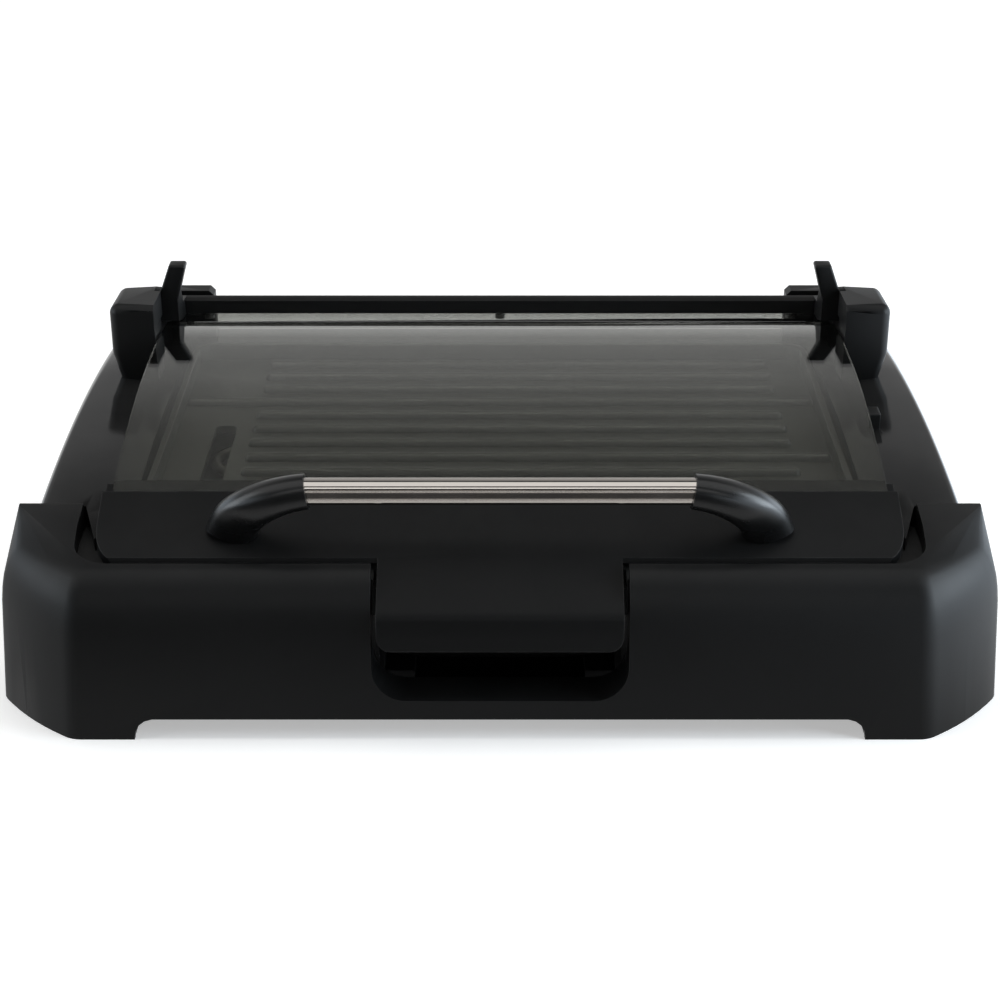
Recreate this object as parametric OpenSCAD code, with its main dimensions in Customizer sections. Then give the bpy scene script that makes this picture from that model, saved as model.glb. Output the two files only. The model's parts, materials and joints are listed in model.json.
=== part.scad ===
// Electric indoor grill with a hinged lid.
// Origin: centre of the footprint, on the table. +X right, +Y to the rear, +Z up.

/* [Overall] */
// Width across the foot of the front fascia
overall_w = 544; // [528:1:560]
// Depth from the fascia foot to the rear wall
overall_d = 356; // [350:1:364]
// Height of the housing above the table
ground_gap = 11.5; // [9:0.5:13]
// Wall of the moulded shells
wall = 3; // [2.4:0.1:3.6]

/* [Housing] */
// Distance of the housing's side in from the fascia's side
housing_in = 19; // [18:0.5:22]
// Height of the middle of the side shoulders
shoulder_z = 102.2; // [101:0.2:103]
// Radius of the long arch of the shoulders, seen from the side
arch_r = 1000; // [900:10:1200]
// Radius of the outer edge of the shoulders
shoulder_r = 5; // [4:0.5:8]
// Drop from the crest of a shoulder to its inner edge
shoulder_drop = 6; // [4:0.5:8]
// Height of the low rear wall
rear_wall_z = 91; // [89:0.5:92]
// Height of the deck under the front panel
deck_z = 82; // [80:0.5:83]
// Radius of the rear corners in plan
rear_corner_r = 28; // [20:1:32]
// Chamfer of the front corners, inside the fascia
front_chamfer = 28; // [26:1:32]

/* [Fascia] */
// Distance that the fascia wraps back along the sides
fascia_wrap = 87; // [84:1:90]
// Lean of the front face from the vertical, in degrees
fascia_lean = 8; // [6:0.5:9]
// Lean of the sides from the vertical, in degrees
fascia_flare = 2.5; // [2:0.5:3]
// Distance of the corner creases in from the sides, at the foot
crease_in = 45.5; // [42:0.5:48]
// Height of the top of the fascia at its front edge
crown_z = 90; // [88:0.5:91]
// Height of the horns at their rear edge
horn_z = 96.5; // [95.5:0.5:97]
// Width of a front foot
foot_w = 78.5; // [70:0.5:84]
// Width of the finger recess
recess_w = 135; // [130:1:140]
// Height of the bottom edge of the recess
recess_z = 22; // [20:0.5:23]
// Radius of the lower corners of the recess
recess_r = 18; // [14:1:22]

/* [Grill plate] */
// Distance of the plate's side in from the fascia's side
plate_side = 73; // [72:0.5:77]
// Depth of the plate
plate_d = 254; // [250:1:258]
// Height of the ridge tops
ridge_z = 86; // [85:0.5:87]
// Height of a ridge above the plate's floor
ridge_h = 4; // [3:0.5:5]
// Distance between ridges
ridge_pitch = 20; // [18:0.5:21]
// Distance of the ridge field's ends in from the plate's sides
ridge_side = 37; // [34:0.5:49]
// Shift of the ridge field away from the drain
ridge_shift = 12; // [6:1:14]
// Thickness of the plate's floor
plate_t = 5; // [4:0.5:6]
// Height of the plate's rim above its floor
rim_h = 10; // [8:0.5:11]
// Width of the drain slot
drain_w = 13; // [10:0.5:15]
// Length of the drain slot
drain_len = 110; // [80:1:120]

/* [Lid] */
// Distance of the glass's side in from the fascia's side
glass_side = 62; // [61:0.5:64]
// Thickness of the glass
glass_t = 4; // [3:0.5:5]
// Outer radius of the arched glass
glass_r = 496.4; // [480:0.5:520]
// Distance of the front panel's side in from the fascia's side
panel_side = 57; // [55:0.5:59]
// Radius of the panel's lower corners, across the width
panel_r = 13; // [10:1:16]
// Width of the tongue
tongue_w = 129; // [124:1:131]
// Radius of the tongue's lower corners
tongue_r = 9; // [6:1:12]
// Height of the hinge axis
axis_z = 131; // [130:0.5:132]
// Distance of the hinge axis in front of the rear wall
axis_back = 58; // [56:0.5:60]
// Diameter of the hinge pins
pin_d = 6; // [5:0.5:7]
// Radius of the hinge hub on the arms
hub_r = 9; // [8.5:0.5:10]
// Height of the upright fins above the hinge axis
fin_h = 29.5; // [26:0.5:31]

/* [Handle] */
// Reach of a handle arm, from the bar's end to its foot
arm_reach = 42.5; // [37:0.5:48]
// Height of the metal bar's section
bar_h = 14; // [12:0.5:16]
// Height of the bar's centre line
bar_z = 127; // [124:0.5:130]
// Distance of the bar's centre line behind the fascia foot
bar_back = 40; // [37:0.5:43]
// Middle of a handle foot in from the lid panel's end
handle_in = 72; // [67:1:77]

/* [Heating] */
// Diameter of the tubular element
element_d = 6.5; // [6:0.5:8]
// Height of the element's centre line
element_z = 66; // [65:0.5:67]
// Number of passes of the element
element_runs = 6; // [4:2:6]
// Thickness of the sheet metal
sheet_t = 1; // [0.8:0.1:1.2]

/* [Drip tray] */
// Width of the drip tray
tray_w = 122; // [110:1:126]
// Length of the drip tray
tray_len = 186; // [170:1:190]
// Height of the drip tray
tray_h = 20; // [16:1:20]
// Wall of the drip tray
tray_wall = 2; // [1.5:0.1:2.5]

/* [Clearances] */
// Gap round the plate in its well
plate_gap = 2.5; // [2:0.1:3]
// Radial clearance of the hinge pins in the arms
pin_clear = 0.06; // [0.04:0.01:0.08]
// Gap beside moving plastic parts
side_gap = 1; // [0.6:0.1:1.4]

/* [Hidden] */
$fn = 48;
eps = 0.01;
big = 1200;

front_y = -overall_d/2;
rear_y = overall_d/2;
half_w = overall_w/2;
half_h = half_w - housing_in;
plate_w = overall_w - 2*plate_side;
ridge_len = plate_w - 2*ridge_side;
glass_w = overall_w - 2*glass_side;
panel_w = overall_w - 2*panel_side;
handle_foot_x = panel_w/2 - handle_in;
bar_len = 2*(handle_foot_x - arm_reach);
wrap_y = front_y + fascia_wrap;
function face_y(z) = front_y + z*tan(fascia_lean);
// Side of the fascia leans in, and its creases lean in less
horn_turn_z = 55;
horn_turn_in = 2;
function side_x(z) = half_w - z*tan(fascia_flare)
    - horn_turn_in*pow(max(0, z - horn_turn_z)/(horn_z - horn_turn_z), 2);
function crease_at(z) = half_w - crease_in - z*0.04;

// Housing and well
axis_y = rear_y - axis_back;
well_half = plate_w/2 + plate_gap;
arm_in = well_half + side_gap;
arch_y = axis_y - 98;
housing_front = front_y + 28;
rear_half_x = arm_in - 16;
plate_front = wrap_y - 13;
plate_rear = plate_front + plate_d;
plate_y = (plate_front + plate_rear)/2;
floor_z = ridge_z - ridge_h;
plate_under = floor_z - plate_t;
rim_z = floor_z + rim_h;
skirt_h = 7;
well_front = plate_front - plate_gap;
well_rear = plate_rear + plate_gap;
ledge_z = plate_under - skirt_h;
ledge_w = 7;
pan_z = element_z - 20;
pan_rim = 1.5;

// Probe opening, in the right side
probe_y0 = -12;
probe_y1 = 28;
probe_z0 = pan_z + 2;
probe_z1 = element_z + 18;
term_x0 = well_half + 3.5;

// Hinge
swing_r = 37;
arm_t = 12;
arm_out = arm_in + arm_t;
block_in = arm_out + side_gap;
block_out = half_h - 14;
block_front = axis_y - 47;
block_top = axis_z + 17;
post_front = axis_y + swing_r + 0.5;
post_rear = rear_y - 10;
post_top = axis_z - 4.5;
pin_r = pin_d/2;

// Glass arc, through its front and rear edges
panel_top_z = 108;
glass_front = wrap_y - 8;
glass_rear = axis_y + 26;
glass_corner = axis_y - 7;
glass_rise = axis_z - 14.4 - (panel_top_z - 1);
glass_span = glass_rear - glass_front;
glass_chord = norm([glass_span, glass_rise]);
glass_reach = sqrt(glass_r*glass_r - glass_chord*glass_chord/4);
glass_cy = (glass_front + glass_rear)/2 + glass_reach*glass_rise/glass_chord;
glass_cz = panel_top_z - 1 + glass_rise/2 - glass_reach*glass_span/glass_chord;
function arc_top(y, r) = glass_cz + sqrt(r*r - pow(y - glass_cy, 2));
function glass_top(y) = arc_top(y, glass_r);
function glass_under(y) = arc_top(y, glass_r - glass_t);

// Front panel and tongue, seen from the side
panel_back = wrap_y - 10;
foot_y = front_y + bar_back + 14;

// Notch of the fascia, round the panel
notch_y = front_y + 29;
notch_r = 20;
notch_wall = 2.4;
strip_front = notch_y + notch_r + 10;
notch_x = panel_w/2 + 11;
panel_low_y = front_y + 36;
panel_low_z = 90;
tongue_y = front_y + 6.5;
tongue_z = 70.5;
tongue_end_y = front_y + 5.2;
tongue_end_z = 50;
skin = 3.2;
seal_t = 0.5;
panel_slope = (panel_top_z - panel_low_z)/(panel_back - panel_low_y);
function panel_z(y) = panel_low_z + (y - panel_low_y)*panel_slope;

function arc_pts(cx, cy, r, a0, a1, n) =
    [for (i = [0:n]) let (a = a0 + (a1 - a0)*i/n) [cx + r*cos(a), cy + r*sin(a)]];

module box(x, y, z) {
    translate([x[0], y[0], z[0]]) cube([x[1] - x[0], y[1] - y[0], z[1] - z[0]]);
}
module round_rect(w, d, r) {
    square([w - 2*r, d], center = true);
    square([w, d - 2*r], center = true);
    for (sx = [-1, 1], sy = [-1, 1]) translate([sx*(w/2 - r), sy*(d/2 - r)]) circle(r);
}
module both() {
    children();
    mirror([1, 0, 0]) children();
}
// A cylinder along X between two places
module rod_x(x0, x1, r) {
    translate([x0, 0, 0]) rotate([0, 90, 0]) cylinder(r = r, h = x1 - x0);
}
module rod_y(y0, y1, r) {
    translate([0, y0, 0]) rotate([-90, 0, 0]) cylinder(r = r, h = y1 - y0);
}

// ---- Housing ----
module housing_plan(inset) {
    x = half_h - inset;
    r = rear_corner_r - inset;
    f = front_chamfer;
    y0 = housing_front + inset;
    y1 = rear_y - inset;
    polygon(concat([[-x + f, y0], [x - f, y0], [x, y0 + 1.35*f]],
        arc_pts(x - r, y1 - r, r, 0, 90, 8),
        arc_pts(-x + r, y1 - r, r, 90, 180, 8),
        [[-x, y0 + 1.35*f]]));
}
// Cross-section of both shoulders, as [radius, x], revolved about the arch's axis
function shoulder_half(half, r, drop) = concat(
    [[arch_r - 160, half]],
    [for (i = [0:8]) let (a = 90*i/8) [arch_r - r + r*sin(a), half - r + r*cos(a)]],
    [for (i = [1:6]) let (t = i/6) [arch_r - drop*t*t, (half - r)*(1 - t) + well_half*t]]);
module arch_solid(inset) {
    side = shoulder_half(half_h - inset, shoulder_r - inset*0.5, shoulder_drop);
    n = len(side);
    left = [for (i = [0:n - 1]) [side[n - 1 - i][0], -side[n - 1 - i][1]]];
    translate([0, arch_y, shoulder_z - arch_r - inset]) rotate([0, 90, 0])
        rotate_extrude($fn = 720) polygon(concat(side, left));
}
module housing_blank(inset, top_inset) {
    difference() {
        intersection() {
            arch_solid(inset);
            translate([0, 0, ground_gap]) linear_extrude(150) housing_plan(inset);
        }
        difference() {
            box([-big, big], [-big, wrap_y + 0.4 + inset], [deck_z - top_inset, big]);
            // Strip of the shoulder that shows beside the panel
            if (inset == 0) both() linear_extrude(big) polygon([[panel_w/2 + 2, strip_front],
                [panel_w/2 + 2.8, strip_front], [notch_x + side_gap, wrap_y + 1],
                [panel_w/2 + 2, wrap_y + 1]]);
        }
        box([-tongue_w/2 - 2 - inset, tongue_w/2 + 2 + inset], [-big, panel_low_y + 1.5 + inset],
            [deck_z - 6 - top_inset, big]);
        box([-well_half, well_half], [-big, big], [ledge_z + 14 - top_inset, big]);
    }
    // Low rear wall
    intersection() {
        box([-big, big], [well_rear + inset*2, big], [ground_gap, rear_wall_z - top_inset]);
        linear_extrude(150) housing_plan(inset);
    }
}
module base_housing() {
    color([0.05, 0.05, 0.055]) difference() {
        housing_blank(0, 0);
        difference() {
            translate([0, 0, -eps]) housing_blank(wall, wall);
            box([-well_half - wall, well_half + wall], [well_front - wall, well_rear + wall],
                [pan_z - pan_rim, big]);
            translate([0, axis_y, axis_z]) rod_x(-block_in - wall, block_in + wall, swing_r + wall);
            housing_bosses();
        }
        for (x = [-boss_x, boss_x], y = boss_ys) translate([x, y, ground_gap])
            cylinder(r = 1.5, h = cover_t + boss_hole);
        // Plate well with its ledge
        box([-well_half, well_half], [well_front, well_rear], [ledge_z, big]);
        box([-well_half + ledge_w, well_half - ledge_w],
            [well_front + ledge_w, well_rear - ledge_w], [pan_z - 5, big]);
        // Room for the lid's rear rail and arms to swing
        translate([0, axis_y, axis_z]) rod_x(-block_in, block_in, swing_r);
        // Opening for the probe
        box([well_half - ledge_w - eps, big], [probe_y0, probe_y1], [probe_z0, probe_z1]);
        probe_guard_shape();
        reflector_screw_holes();
        // Way for the drip tray, under the deck
        box([-recess_w/2 + 3, recess_w/2 - 3], [housing_front - eps, housing_front + wall + eps],
            [ground_gap - eps, recess_z + tray_h + 4]);
        for (x = fascia_screw_x) translate([x, 0, fascia_screw_z])
            rod_y(housing_front - eps, housing_front + wall + eps, 1.7);
    }
}

// ---- Fascia ----
corner_r = 155;
corner_start = 32;
crease_r = 16;
function fascia_half(z, inset) =
    let (cx = crease_at(z) - inset*0.4, fy = face_y(z) + inset, hw = side_x(z) - inset,
         xc = cx - corner_r*sin(corner_start), yc = fy + corner_r*cos(corner_start),
         a1 = asin((hw - 2 - xc)/corner_r), y1 = yc - corner_r*cos(a1))
    concat([for (i = [0:4]) let (a = corner_start*i/4)
            [cx - crease_r*(tan(corner_start/2) - sin(a)), fy + crease_r*(1 - cos(a))]],
        [for (i = [1:8]) let (a = corner_start + (a1 - corner_start)*i/8)
            [xc + corner_r*sin(a), yc - corner_r*cos(a)]],
        [[hw - 0.5, y1 + 3], [hw, y1 + 8]]);
module fascia_slice(z, inset, z_shift, back) {
    half = fascia_half(z, inset);
    n = len(half);
    left = [for (i = [0:n - 1]) [-half[n - 1 - i][0], half[n - 1 - i][1]]];
    rim = [[side_x(z) - inset, back], [-side_x(z) + inset, back]];
    translate([0, 0, z - z_shift]) linear_extrude(eps) polygon(concat(left, half, rim));
}
// Crown of the fascia: height and inset of each slice above the straight face
crown_steps = [[-34, 0], [-26, 0.4], [-19, 1.2], [-13, 2.6], [-8, 4.6], [-4, 7], [-1.4, 9.8], [0, 13]];
module fascia_body(t, back) {
    top = crown_z + eps;
    hull() {
        fascia_slice(0, t, t > 0 ? 1 : 0, back);
        for (s = crown_steps) fascia_slice(top + s[0], s[1] + t, t, back);
        translate([0, back - 1, horn_z - t]) cube([2*(side_x(horn_z) - 3 - t), 2, eps], center = true);
    }
}
module recess_shape(grow, top) {
    w = recess_w + 2*grow;
    r = recess_r + grow;
    z0 = recess_z - grow;
    polygon(concat(arc_pts(-w/2 + r, z0 + r, r, 180, 270, 8),
        arc_pts(w/2 - r, z0 + r, r, 270, 360, 8), [[w/2, top], [-w/2, top]]));
}
module recess_block(grow, y0, y1, top) {
    translate([0, y1, 0]) rotate([90, 0, 0]) linear_extrude(y1 - y0) recess_shape(grow, top);
}
module notch_plan(grow) {
    y1 = notch_y + notch_r;
    right = concat(arc_pts(notch_x - notch_r, y1, notch_r + grow, -90, -8, 8),
        [[notch_x + 1.5 + grow, wrap_y - 21], [notch_x + 2 + grow, wrap_y + 1]]);
    n = len(right);
    left = [for (i = [0:n - 1]) [-right[n - 1 - i][0], right[n - 1 - i][1]]];
    polygon(concat(left, right));
}
pocket_back = housing_front - 0.5;
boss_r = 4.5;
module front_fascia() {
    color([0.045, 0.045, 0.047]) difference() {
        union() {
            difference() {
                fascia_body(0, wrap_y);
                fascia_body(wall, wrap_y - wall);
            }
            intersection() {
                fascia_body(0, wrap_y);
                union() {
                    difference() {
                        recess_block(wall, front_y - 5, pocket_back, crown_z + 20);
                        recess_block(0, front_y - 5, pocket_back + 1, crown_z + 20);
                    }
                    for (x = fascia_screw_x) translate([x, 0, fascia_screw_z])
                        rod_y(face_y(fascia_screw_z) + 1, pocket_back + 0.5, boss_r);
                    both() box([half_w - foot_w, half_w], [front_y, foot_back],
                        [foot_lift, foot_lift + wall]);
                    // Inner wall of both horns
                    translate([0, 0, deck_z + side_gap]) linear_extrude(horn_z - deck_z)
                        notch_plan(notch_wall);
                }
            }
        }
        translate([0, 0, deck_z - 8]) linear_extrude(60) notch_plan(0);
        recess_block(0, front_y - 5, housing_front + 20, crown_z + 20);
        // Passage for the housing, which the fascia wraps
        translate([0, 0, ground_gap - 0.4]) linear_extrude(deck_z + side_gap - ground_gap)
            housing_plan(-0.5);
        both() translate([foot_pad_x, foot_pad_y, -1])
            cylinder(r = foot_pad_r, h = 1 + foot_lift + pad_t);
        // Gap under the fascia between its feet
        translate([0, big/2, 0]) rotate([90, 0, 0]) linear_extrude(big) foot_gap();
        box([-big, big], [foot_back, big], [-1, ground_gap]);
        for (x = fascia_screw_x) translate([x, 0, fascia_screw_z])
            rod_y(pocket_back - 9, pocket_back + 2, 1.5);
    }
}
foot_back = front_y + 70;
foot_pad_x = half_w - 36;
foot_pad_y = front_y + 45;
foot_pad_r = 11;
pad_t = 1.5;
foot_lift = 0.8;
module foot_gap() {
    x = half_w - foot_w;
    z = ground_gap;
    right = [[x, -1], [x, 0.13*z], [x - 0.6, 0.4*z], [x - 2.5, 0.7*z], [x - 5.5, 0.9*z], [x - 9.5, z]];
    left = [for (i = [0:5]) [-right[5 - i][0], right[5 - i][1]]];
    polygon(concat(right, left));
}
module front_foot_pads() {
    color([0.03, 0.03, 0.03]) both() translate([foot_pad_x, foot_pad_y, 0])
        cylinder(r = foot_pad_r, h = foot_lift + pad_t);
}
fascia_screw_x = [-170, -110, 110, 170];
fascia_screw_z = 48;
module fascia_screws() {
    color("silver") for (x = fascia_screw_x) translate([x, 0, fascia_screw_z]) {
        rod_y(pocket_back - 8, housing_front + wall + eps, 1.5);
        rod_y(housing_front + wall, housing_front + wall + 2.2, 3.2);
    }
}

// ---- Bottom cover and feet ----
cover_t = 2.5;
boss_x = half_h - 28;
boss_ys = [front_y + 80, rear_y - 38];
boss_hole = 14;
boss_screw = 12;
foot_r = 12;
tray_z = recess_z + 1.5;
tray_front = front_y + 38;
tray_back = tray_front + tray_len;
rail_t = 3;
module bottom_cover() {
    top = ground_gap + cover_t;
    guide_x = tray_w/2 + side_gap;
    color([0.04, 0.04, 0.04]) difference() {
        union() {
            translate([0, 0, ground_gap]) linear_extrude(cover_t) housing_plan(wall + 0.3);
            both() {
                box([guide_x, guide_x + rail_t], [housing_front + wall + 1, tray_back + 8],
                    [ground_gap + 1, tray_z + tray_h*0.7]);
                box([guide_x - 2*tray_taper, guide_x + 1], [housing_front + wall + 1, tray_back + 8],
                    [ground_gap + 1, tray_z - 0.2]);
            }
            box([-guide_x, guide_x], [tray_back + 2, tray_back + 2 + rail_t], [ground_gap + 1, tray_z + 12]);
        }
        for (x = [-boss_x, boss_x], y = boss_ys) translate([x, y, ground_gap - 1])
            cylinder(r = 1.9, h = cover_t + 2);
        both() for (i = [0:3], s = [-1, 1]) translate([vent_x + i*vent_pitch, s*overall_d*0.155, top - 5])
            linear_extrude(10) round_rect(vent_w, vent_len, 2.9);
    }
}
vent_x = 90;
vent_pitch = 20;
vent_w = 6;
vent_len = 50;
module housing_bosses() {
    for (x = [-boss_x, boss_x], y = boss_ys) translate([x, y, ground_gap + cover_t])
        cylinder(r = boss_r + 1, h = big);
}
module housing_screws() {
    color("silver") for (x = [-boss_x, boss_x], y = boss_ys) translate([x, y, 0]) {
        translate([0, 0, ground_gap - 0.6]) cylinder(r = 1.5, h = cover_t + boss_screw);
        translate([0, 0, ground_gap - 2]) cylinder(r = 3.2, h = 2);
    }
}
module rear_feet() {
    color([0.03, 0.03, 0.03]) both() translate([boss_x, boss_ys[1], 0]) difference() {
        cylinder(r1 = foot_r - 1, r2 = foot_r, h = ground_gap);
        translate([0, 0, ground_gap - 2.5]) cylinder(r = 3.6, h = 3);
    }
}

// ---- Hinge blocks and pins ----
module hinge_block() {
    low = axis_z - 15;
    r = 6;
    difference() {
        union() {
            hull() {
                side_profile(block_in - 4, block_in - 3, [[block_front + 3, block_top],
                    [axis_y - 6, block_top - 2], [rear_y - 14, post_top],
                    [rear_y - 4, post_top - 5], [rear_y - 4, rear_wall_z],
                    [block_front + 2, rear_wall_z], [block_front, low], [block_front, block_top - 3]]);
                for (p = [[block_front + r, block_top], [axis_y - 10, block_top - 2],
                        [rear_y - 18, post_top - 1]])
                    translate([block_out - r, p[0], p[1] - r]) sphere(r, $fn = 32);
                for (y = [block_front + 5, rear_y - 12])
                    translate([block_out - 5, y, low]) cylinder(r = 5, h = 2, $fn = 32);
                for (y = [block_front + 7, rear_y - 14])
                    translate([block_out - 11, y, rear_wall_z]) cylinder(r = 5, h = 2, $fn = 32);
            }
            // Post behind the lid's rail
            hull() {
                box([rear_half_x, block_in], [post_front, post_rear], [rear_wall_z, rear_wall_z + 1]);
                box([rear_half_x + 3, block_in], [post_front, post_rear], [rear_wall_z, post_top]);
                box([rear_half_x, block_in], [post_front, post_rear], [rear_wall_z, post_top - 3]);
            }
        }
        arch_solid(0);
        box([-big, big], [-big, big], [0, rear_wall_z]);
        // Slot for the lid's arm
        box([0, block_in], [axis_y - 16, post_front], [0, big]);
        box([0, block_in], [axis_y - 22.5, axis_y], [0, axis_z]);
        translate([0, axis_y, axis_z]) rod_x(0, block_in + 20, pin_r);
    }
}
module hinge_block_right() { color([0.05, 0.05, 0.052]) hinge_block(); }
module hinge_block_left() { color([0.05, 0.05, 0.052]) mirror([1, 0, 0]) hinge_block(); }
module hinge_pins() {
    color("silver") both() translate([0, axis_y, axis_z]) {
        rod_x(arm_in + 2, block_in + 20, pin_r);
    }
}

// ---- Drip tray ----
tray_taper = 8;
module tray_slab(z, inset, h) {
    translate([0, (tray_front + tray_back)/2, tray_z + z]) linear_extrude(h)
        round_rect(tray_w - 2*inset, tray_len - 2*inset, 4);
}
module tray_block(inset, top) {
    hull() {
        tray_slab(inset, inset + tray_taper, 0.5);
        tray_slab(tray_taper, inset, 0.5);
    }
    tray_slab(tray_taper, inset, top - tray_taper);
}
module drip_tray() {
    h = tray_h;
    w = tray_wall;
    color([0.05, 0.05, 0.05]) difference() {
        union() {
            tray_block(0, h);
            // Grip lip along the front
            box([-tray_w/2 + 8, tray_w/2 - 8], [tray_front - 7, tray_front + 4],
                [tray_z + h - 3, tray_z + h]);
        }
        tray_block(w, h + 1);
    }
}

// ---- Reflector pan and heating element ----
drain_y = 0;
drain_r = 16;
pan_half = well_half - ledge_w - 0.3;
pan_front = well_front + ledge_w + 0.3;
pan_rear = well_rear - ledge_w - 0.3;
module pan_slab(z, inset) {
    box([-pan_half + inset, pan_half - inset], [pan_front + inset, pan_rear - inset], [z, z + eps]);
}
pan_lip = 8;
module pan_square(z, inset) {
    w = drain_r + pan_lip - inset;
    box([-w, w], [drain_y - w, drain_y + w], [z, z + eps]);
}
module heat_reflector() {
    rise = 6;
    z0 = pan_z;
    color([0.75, 0.76, 0.77]) difference() {
        union() {
            hull() { pan_slab(z0 + rise, 0); pan_square(z0, 0); pan_slab(z0 + rise + pan_lip, 0); }
            translate([0, drain_y, z0 - pan_rim]) cylinder(r = drain_r + sheet_t, h = 4);
        }
        hull() {
            pan_slab(z0 + rise + sheet_t, sheet_t);
            pan_square(z0 + sheet_t, sheet_t);
            pan_slab(z0 + rise + 20, sheet_t);
        }
        translate([0, drain_y, z0 - 5]) cylinder(r = drain_r, h = 20);
        box([pan_half - 5, pan_half + 5], [probe_y0, probe_y1], [pan_z + 8, big]);
        reflector_screw_holes();
    }
}
reflector_screw_ys = [-70, 110];
module reflector_screws() {
    color("silver") both() for (y = reflector_screw_ys) translate([0, y, pan_z + 11]) {
        rod_x(pan_half - sheet_t - 1.5, pan_half - sheet_t, 3);
        rod_x(pan_half - sheet_t - eps, well_half + wall - 0.5, 1.4);
    }
}
module reflector_screw_holes() {
    both() for (y = reflector_screw_ys) translate([0, y, pan_z + 11])
        rod_x(pan_half - sheet_t - 1, well_half + wall - 0.5, 1.4);
}
element_r = element_d/2;
run_pitch = (plate_d - 74)/(element_runs - 1);
run_half = plate_w/2 - 46;
run_y0 = plate_y - run_pitch*(element_runs - 1)/2;
term_y = (probe_y0 + probe_y1)/2;
term_gap = 9;
lead_x = run_half + run_pitch/2 + 1;
bend_r = 8;
module bend(x, y, r, a0, a) {
    translate([x, y, 0]) rotate([0, 0, a0]) rotate_extrude(angle = a) translate([r, 0]) circle(element_r);
}
module heating_element() {
    color([0.35, 0.33, 0.31]) translate([0, 0, element_z]) {
        for (i = [0:element_runs - 1]) {
            y = run_y0 + i*run_pitch;
            translate([0, y, 0]) rod_x(-run_half, run_half, element_r);
            if (i < element_runs - 1)
                bend(i % 2 == 0 ? -run_half : run_half, y + run_pitch/2, run_pitch/2,
                    i % 2 == 0 ? 90 : -90, 180);
        }
        for (s = [-1, 1]) {
            y_run = plate_y + s*run_pitch*(element_runs - 1)/2;
            y_term = term_y + s*term_gap;
            translate([0, y_run, 0]) rod_x(run_half, lead_x, element_r);
            bend(lead_x, y_run - s*bend_r, bend_r, s > 0 ? 0 : -90, 90);
            translate([lead_x + bend_r, 0, 0]) {
                if (s > 0) rod_y(y_term + bend_r, y_run - bend_r, element_r);
                else rod_y(y_run + bend_r, y_term - bend_r, element_r);
            }
            bend(lead_x + 2*bend_r, y_term + s*bend_r, bend_r, s > 0 ? 180 : 90, 90);
            translate([0, y_term, 0]) rod_x(lead_x + 2*bend_r, term_x0, element_r);
        }
    }
}
clip_in = 33;
element_clip_xs = [clip_in - run_half, 0, run_half - clip_in];
module element_supports() {
    color([0.7, 0.7, 0.7]) for (x = element_clip_xs) difference() {
        box([x - 4, x + 4], [pan_front + sheet_t, pan_rear - sheet_t],
            [element_z - element_r - 3, element_z - element_r + 2]);
        for (i = [0:element_runs - 1]) translate([0, run_y0 + i*run_pitch, element_z])
            rod_x(x - 5, x + 5, element_r + 0.02);
    }
}

// ---- Probe socket ----
socket_wall = 2.5;
module terminal_block() {
    color([0.85, 0.83, 0.78]) difference() {
        union() {
            box([well_half - ledge_w, well_half], [probe_y0, probe_y1], [probe_z0, ledge_z]);
            box([well_half, well_half + 5], [probe_y0, probe_y1], [probe_z0, probe_z1]);
        }
        for (s = [-1, 1]) translate([0, term_y + s*term_gap, element_z]) {
            rod_x(0, term_x0, element_r);
            rod_x(term_x0 - 1, half_h, 2);
        }
        translate([0, term_y, element_z]) rod_x(0, half_h, probe_tube_r);
    }
}
term_pin_in = 18;
term_pin_r = 2;
module terminal_pins() {
    color("silver") for (s = [-1, 1]) translate([0, term_y + s*term_gap, element_z])
        rod_x(term_x0, half_h - term_pin_in, term_pin_r);
}
probe_tube_r = 4;
module probe_tube() {
    color("silver") translate([0, term_y, element_z]) difference() {
        rod_x(run_half + run_pitch/2 + element_r + 2, well_half + 5, probe_tube_r);
        rod_x(run_half + run_pitch/2 + element_r + 3, half_h, probe_tube_r - 1);
    }
}
module probe_socket() {
    color([0.04, 0.04, 0.04]) difference() {
        box([well_half + 5, half_h + 0.8], [probe_y0, probe_y1], [probe_z0, probe_z1]);
        box([well_half + 5 - eps, half_h + 2], [probe_y0 + socket_wall, probe_y1 - socket_wall],
            [probe_z0 + socket_wall, probe_z1 - socket_wall]);
    }
}
guard_y = -2;
guard_x = 14.5;
guard_t = 6.5;
guard_w = 12;
guard_top = shoulder_z + 7.5;
module probe_guard_shape() {
    box([well_half + guard_x, well_half + guard_x + guard_t], [guard_y, guard_y + guard_w],
        [probe_z1 + 1, guard_top]);
}
module probe_guard() {
    color([0.05, 0.05, 0.05]) probe_guard_shape();
}

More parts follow.
